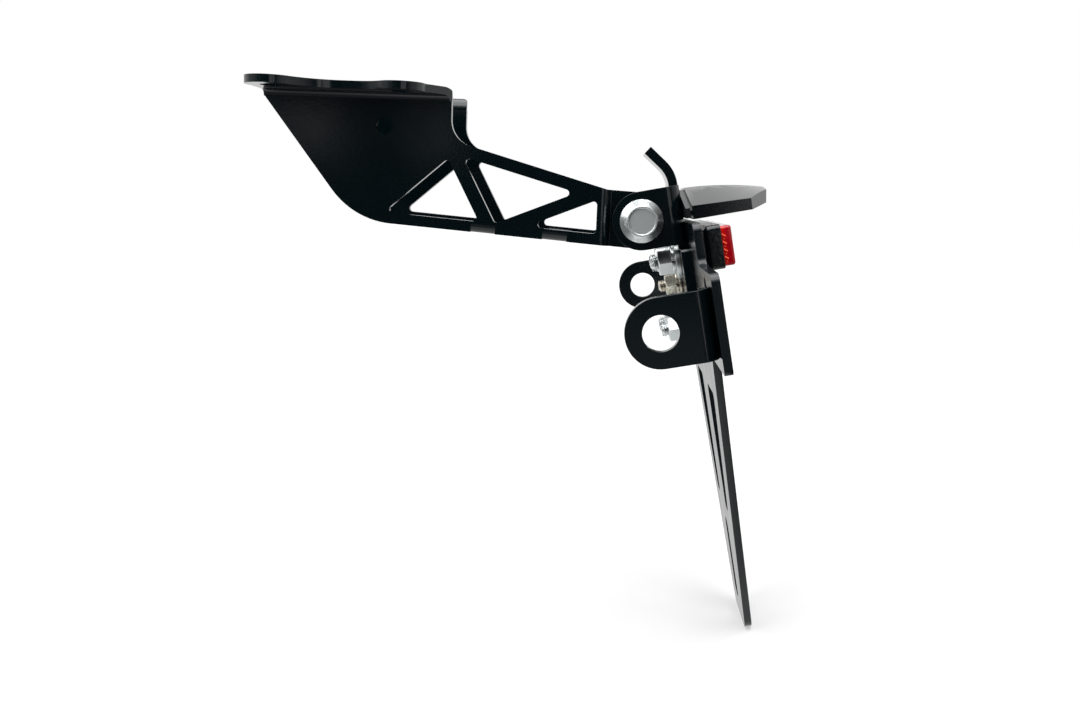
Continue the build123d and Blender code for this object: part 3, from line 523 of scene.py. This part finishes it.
# Bright zinc gives the headed bolts soft reflections of the room. In the forged dish it is duller and
# an even grey, and on the pressed nuts and washers it lies between the two
bright_zinc = zinc_plate("bright_zinc_on_cold_headed_steel", zinc_silver, roughness=0.24)
dull_zinc = zinc_plate("dull_zinc_on_forged_recess", zinc_silver, roughness=0.52)
pressed_zinc = zinc_plate("satin_zinc_on_pressed_steel", zinc_silver, roughness=0.32)
bolts = threaded_screws(
    "pivot_bolts", "pivot_nuts", "pivot_bolts_plated", towards_middle, pivot_radius_mm, pivot_pitch_mm,
    pivot_edge_mm, "arm", bright_zinc, prepare=round_lip,
)
bolts.data.materials.append(dull_zinc)
for face in bolts.data.polygons:
    if abs(face.center.y) > head_top - dish_depth and abs(face.normal.y) > dish_facing:
        face.material_index = 1
finished("pivot_nuts", "pivot_nuts_plated", nut_edge_mm, "arm", pressed_zinc)

# Hinge bracket: thicker folded sheet in the same coat, with ears for the pivot bolts, a tongue curled
# over them and a cross bar that ends in the indicator tabs.
finished("hinge_bracket", "hinge_bracket_coated", sheet_edge_mm, "holder", satin_black)

# Plate holder: one flat sheet, cut with a tapered tail. It is screwed to the hinge bracket and carries
# the number plate. Its coat is a little duller, so its front face is an even grey seen along the sheet.
dull_black = powder_coat("dull_black_powder_coat_on_steel", roughness=0.22)
finished("plate_holder", "plate_holder_coated", sheet_edge_mm, "holder", dull_black)

# Screws of the plate holder: M5 countersunk heads at the rear, wide and spring washers and nuts at the
# front, all zinc plated: bright on the screws and satin on the rest.
holder_radius_mm = 2.5
holder_pitch_mm = 0.8
screw_edge_mm = 0.15
washer_edge_mm = 0.2
plate_tilt = math.radians(12)
plate_out = Vector((math.cos(plate_tilt), 0, math.sin(plate_tilt)))
plate_up = Vector((-math.sin(plate_tilt), 0, math.cos(plate_tilt)))


def forwards(point):
    """A plate screw points to the front, square to the plate."""
    return -plate_out


threaded_screws(
    "holder_screws", "holder_nuts", "holder_screws_plated", forwards, holder_radius_mm, holder_pitch_mm,
    screw_edge_mm, "holder", bright_zinc,
)
for node, edge_mm in (
    ("wide_washers", washer_edge_mm),
    ("spring_washers", washer_edge_mm),
    ("holder_nuts", nut_edge_mm),
):
    finished(node, node + "_plated", edge_mm, "holder", pressed_zinc)

# Locating screw with washer, spring washer and nut: the same make in M4, passivated, which leaves a
# pale warm silver.
locating_radius_mm = 2.0
locating_pitch_mm = 0.7
warm_zinc = zinc_plate("warm_passivated_zinc_on_steel", "#d2cbbd", roughness=0.26)
threaded_screws(
    "locating_screw", "locating_nut", "locating_screw_plated", forwards, locating_radius_mm,
    locating_pitch_mm, screw_edge_mm, "holder", warm_zinc,
)
for node, edge_mm in (
    ("locating_washer", washer_edge_mm),
    ("locating_spring_washer", washer_edge_mm),
    ("locating_nut", nut_edge_mm),
):
    finished(node, node + "_plated", edge_mm, "holder", warm_zinc)

# Reflector pad: a strip of black foam tape, die cut, that sticks the tray to the holder's rear face.
# Its open cells leave it matt and a little grey.
pad_edge_mm = 0.2
grain_smoother = 0.05
grain_duller = 0.08


# The grain of a mould and the cells of the foam are drawn a few times coarser than they are, to show
def moulded(name, colour, roughness, grain_mm, relief):
    """Moulded or foamed plastic or rubber: an even skin with the grain of its mould."""
    material, tree = new_material(name)
    place = add_node(tree, "ShaderNodeTexCoord")
    grain = add_node(
        tree, "ShaderNodeTexNoise", {"Scale": 1000 / grain_mm, "Detail": 3.0},
        {"Vector": place.outputs["Object"]},
    )
    rough = add_node(
        tree, "ShaderNodeMapRange",
        {"To Min": roughness - grain_smoother, "To Max": roughness + grain_duller},
        {"Value": grain.outputs["Fac"]},
    )
    bump = add_node(
        tree, "ShaderNodeBump", {"Strength": relief, "Distance": 0.0001}, {"Height": grain.outputs["Fac"]}
    )
    skin = add_node(
        tree, "ShaderNodeBsdfPrincipled", {"Base Color": linear(colour), "IOR": 1.5},
        {"Roughness": rough.outputs[0], "Normal": bump.outputs[0]},
    )
    add_node(tree, "ShaderNodeOutputMaterial", {}, {"Surface": skin.outputs[0]})
    return material


pad_foam = moulded("black_foam_tape", "#161717", roughness=0.85, grain_mm=0.5, relief=0.6)
finished("reflector_pad", "reflector_pad_foam", pad_edge_mm, "holder", pad_foam)

# Reflector tray: gloss black ABS, injection moulded, with a thin wall around the red block.
# The gloss keeps it near black with a pale top.
tray_edge_mm = 0.25
tray_plastic = moulded("gloss_black_abs_moulding", "#03090d", roughness=0.17, grain_mm=1.2, relief=0.9)
finished("reflector_tray", "reflector_tray_moulded", tray_edge_mm, "holder", tray_plastic)

# Reflector block: clear red acrylic, moulded with rows of small prisms on its inner side and pressed
# into the tray. The prisms show at the ends of the block as bright slanting flashes in a painted red
# glow, and on its rear face as a fine grid.
lens_edge_mm = 0.3
lens_corners = [corner.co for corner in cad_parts["reflector_lens"].data.vertices]
lens_bottom = min(corner.dot(plate_up) for corner in lens_corners)
lens_top = max(corner.dot(plate_up) for corner in lens_corners)
lens_end = max(corner.y for corner in lens_corners)
tray_rim = max(corner.co.dot(plate_out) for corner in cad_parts["reflector_tray"].data.vertices)

# Prisms, in metres: 2.36 mm from row to row
prism_pitch = 0.00236
prism_depth = 0.0016
prism_height = 0.00026
prism_rows = 4
prism_slant = math.radians(-40)
prism_ridge = 0.6

# Each row has a long flash and a short one below it: how far each lies to the rear and down, and half
# its length and width, in metres
prism_flashes = (
    (0.0, 0.0, 0.00068, 0.00040),
    (-0.0002, 0.0010, 0.00036, 0.00032),
)
wedge_faces = ((0, 1, 4, 3), (1, 2, 5, 4), (2, 0, 3, 5), (0, 2, 1), (3, 4, 5))

# Clear red acrylic with a hard gloss: deep red, with a painted glow of bright red next to the prisms
rear_facing = 0.9
red_acrylic, tree = new_material("clear_red_acrylic_with_painted_prism_glow")
place = add_node(tree, "ShaderNodeTexCoord")
along = add_node(
    tree, "ShaderNodeVectorMath", {1: plate_out}, {0: place.outputs["Object"]}, operation="DOT_PRODUCT"
)
rise = add_node(
    tree, "ShaderNodeVectorMath", {1: plate_up}, {0: place.outputs["Object"]}, operation="DOT_PRODUCT"
)
# Painted glow: bright orange red within a prism's depth of the tray rim, for the light the prisms throw
# back
painted_glow_fade = add_node(
    tree, "ShaderNodeMapRange", {"From Min": tray_rim, "From Max": tray_rim + prism_depth},
    {"Value": along.outputs["Value"]},
)
# The ends of the block: the painted prism glow fading into the acrylic's own deep red
ends = add_node(
    tree, "ShaderNodeMix", {6: linear("#ff1a0c"), 7: linear("#c00418")}, {0: painted_glow_fade.outputs[0]},
    data_type="RGBA",
)
axes = add_node(tree, "ShaderNodeSeparateXYZ", {}, {0: place.outputs["Object"]})
flat = add_node(tree, "ShaderNodeCombineXYZ", {}, {"X": axes.outputs["Y"], "Y": rise.outputs["Value"]})
cell = add_node(
    tree, "ShaderNodeTexVoronoi", {"Scale": 1 / prism_pitch, "Randomness": 0.0},
    {"Vector": flat.outputs[0]}, voronoi_dimensions="2D", distance="CHEBYCHEV",
)
grid = add_node(tree, "ShaderNodeMapRange", {"From Max": 0.5}, {"Value": cell.outputs["Distance"]})
rear = add_node(
    tree, "ShaderNodeMix", {6: linear("#6a0210"), 7: linear("#c81216")}, {0: grid.outputs[0]},
    data_type="RGBA",
)
facing = add_node(tree, "ShaderNodeNewGeometry")
square = add_node(
    tree, "ShaderNodeVectorMath", {1: plate_out}, {0: facing.outputs["Normal"]}, operation="DOT_PRODUCT"
)
on_rear = add_node(
    tree, "ShaderNodeMath", {1: rear_facing}, {0: square.outputs["Value"]}, operation="GREATER_THAN"
)
red = add_node(
    tree, "ShaderNodeMix", {}, {0: on_rear.outputs[0], 6: ends.outputs[2], 7: rear.outputs[2]},
    data_type="RGBA",
)
skin = add_node(
    tree, "ShaderNodeBsdfPrincipled", {"Roughness": 0.08, "IOR": 1.49, "Transmission Weight": 0.15},
    {"Base Color": red.outputs[2]},
)
add_node(tree, "ShaderNodeOutputMaterial", {}, {"Surface": skin.outputs[0]})
finished("reflector_lens", "reflector_lens_moulded", lens_edge_mm, "holder", red_acrylic)

# Prism facets: they throw light straight back, so they shine as a red metal would
prism_red, tree = new_material("red_acrylic_prism_facets")
place = add_node(tree, "ShaderNodeTexCoord")
haze = add_node(tree, "ShaderNodeTexNoise", {"Scale": 1 / prism_pitch}, {"Vector": place.outputs["Object"]})
rough = add_node(
    tree, "ShaderNodeMapRange", {"To Min": 0.12, "To Max": 0.3}, {"Value": haze.outputs["Fac"]}
)
skin = add_node(
    tree, "ShaderNodeBsdfPrincipled", {"Base Color": linear("#ff6a48"), "Metallic": 1.0},
    {"Roughness": rough.outputs[0]},
)
add_node(tree, "ShaderNodeOutputMaterial", {}, {"Surface": skin.outputs[0]})
line = plate_out * math.cos(prism_slant) + plate_up * math.sin(prism_slant)
across = plate_up * math.cos(prism_slant) - plate_out * math.sin(prism_slant)
prism_corners = []
prism_faces = []
for side in (-1, 1):
    proud = Vector((0, side * prism_height, 0))
    for row in range(prism_rows):
        middle_rise = (lens_bottom + lens_top) / 2 + (row - (prism_rows - 1) / 2) * prism_pitch
        for shift, drop, half_length, half_width in prism_flashes:
            centre = plate_out * (tray_rim + prism_depth / 2 + shift) + plate_up * (middle_rise - drop)
            centre.y = side * lens_end
            first = len(prism_corners)
            for step in (-1, 1):
                end = centre + line * (step * half_length)
                prism_corners.append(end - across * half_width - proud)
                prism_corners.append(end - across * (prism_ridge * half_width) + proud)
                prism_corners.append(end + across * half_width - proud)
            prism_faces += [[first + i for i in face] for face in wedge_faces]
mesh = bpy.data.meshes.new("reflector_prisms")
mesh.from_pydata(prism_corners, [], prism_faces)
shape = bmesh.new()
shape.from_mesh(mesh)
bmesh.ops.recalc_face_normals(shape, faces=shape.faces)
shape.to_mesh(mesh)
shape.free()
mesh.materials.append(prism_red)
prisms = link_object("reflector_prisms", mesh)
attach(prisms, "holder")

# Light seat and wire grommet: moulded rubber, a soft black with a broad sheen. The seat closes the hood
# on the hinge bracket, and the grommet lines the hole for the lamp's wire.
seat_edge_mm = 0.25
grommet_edge_mm = 0.3
seat_rubber = moulded("black_rubber_moulding", "#0a0f11", roughness=0.32, grain_mm=0.8, relief=0.5)
finished("light_seat", "light_seat_rubber", seat_edge_mm, "holder", seat_rubber)
finished("wire_grommet", "wire_grommet_rubber", grommet_edge_mm, "holder", seat_rubber)

# Light hood: satin black ABS, moulded in one piece over the lamps and held by two screws. The satin
# turns pale where the roof is seen along its surface.
hood_edge_mm = 0.4
hood_plastic = moulded("satin_black_abs_moulding", "#03090c", roughness=0.11, grain_mm=0.6, relief=0.10)
finished("light_hood", "light_hood_moulded", hood_edge_mm, "holder", hood_plastic)

# Hood screws: button heads in black oxide, put in from the front through the hinge bracket.
# The oxide is a dull blue black.
hood_screw_edge_mm = 0.1
screw_black = moulded("black_oxide_on_steel", "#101213", roughness=0.4, grain_mm=0.5, relief=0.1)
finished("light_screws", "light_screws_blackened", hood_screw_edge_mm, "holder", screw_black)

# Lamp board: circuit board with three square lamp chips that face down to the plate. Its printed mask
# is an even matt white, and the chips are capped in yellow phosphor.
board_edge_mm = 0.1
chip_height = 0.0006
chip_share = 0.8
board_white = moulded("white_solder_mask", "#d6d8d4", roughness=0.5, grain_mm=1.0, relief=0.05)
chip_yellow = moulded("yellow_phosphor_cap", "#dcc24a", roughness=0.45, grain_mm=0.4, relief=0.1)
board = finished("light_board", "light_board_masked", board_edge_mm, "holder", board_white)
board.data.materials.append(chip_yellow)
chip_level = min(corner.co.dot(plate_up) for corner in board.data.vertices) + chip_share * chip_height
for face in board.data.polygons:
    face.material_index = 1 if face.center.dot(plate_up) < chip_level else 0

# Lamp window: clear acrylic strip, snapped into the hood below the lamps.
# It is polished, so only its edges and reflections show.
window_edge_mm = 0.2
window_haze_mm = 3.0
window_clear, tree = new_material("clear_acrylic_moulding")
place = add_node(tree, "ShaderNodeTexCoord")
haze = add_node(
    tree, "ShaderNodeTexNoise", {"Scale": 1000 / window_haze_mm}, {"Vector": place.outputs["Object"]}
)
rough = add_node(
    tree, "ShaderNodeMapRange", {"To Min": 0.02, "To Max": 0.09}, {"Value": haze.outputs["Fac"]}
)
skin = add_node(
    tree, "ShaderNodeBsdfPrincipled",
    {"Base Color": linear("#f4f7f8"), "IOR": 1.49, "Transmission Weight": 1.0},
    {"Roughness": rough.outputs[0]},
)
add_node(tree, "ShaderNodeOutputMaterial", {}, {"Surface": skin.outputs[0]})
finished("light_window", "light_window_moulded", window_edge_mm, "holder", window_clear)
